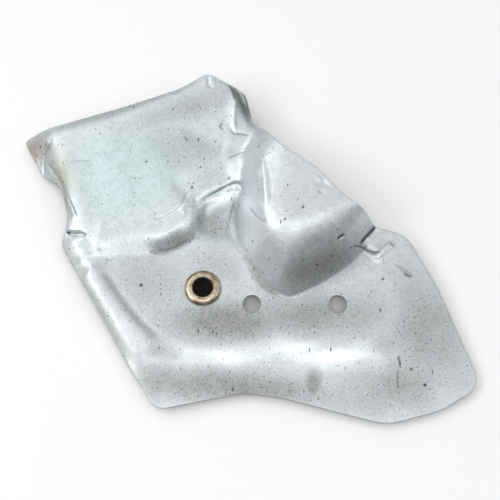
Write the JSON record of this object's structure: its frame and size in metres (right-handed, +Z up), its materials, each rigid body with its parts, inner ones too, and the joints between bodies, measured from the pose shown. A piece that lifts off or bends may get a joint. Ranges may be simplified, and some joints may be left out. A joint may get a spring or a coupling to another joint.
{
  "type": "heat shield",
  "caption": "Pressed sheet-metal heat shield with a deep bulge, a flat fixing pan, plain bolt holes and a flanged bush, for shielding parts near a hot exhaust.",
  "frame": {"origin": "on the bush axis at the underside of the flat pan", "axes": "+X along the row of plain holes, +Z up out of the pan along the bush axis, towards the domed flange"},
  "size_m": [0.2, 0.1577, 0.0279],
  "materials": {
    "aluminised_sheet": "dull aluminised sheet, speckled and scuffed",
    "plated_bush": "worn bronze colour"
  },
  "bodies": {
    "root": {"pressed_shield": "aluminised_sheet", "flanged_bush": "plated_bush"}
  },
  "joints": []
}
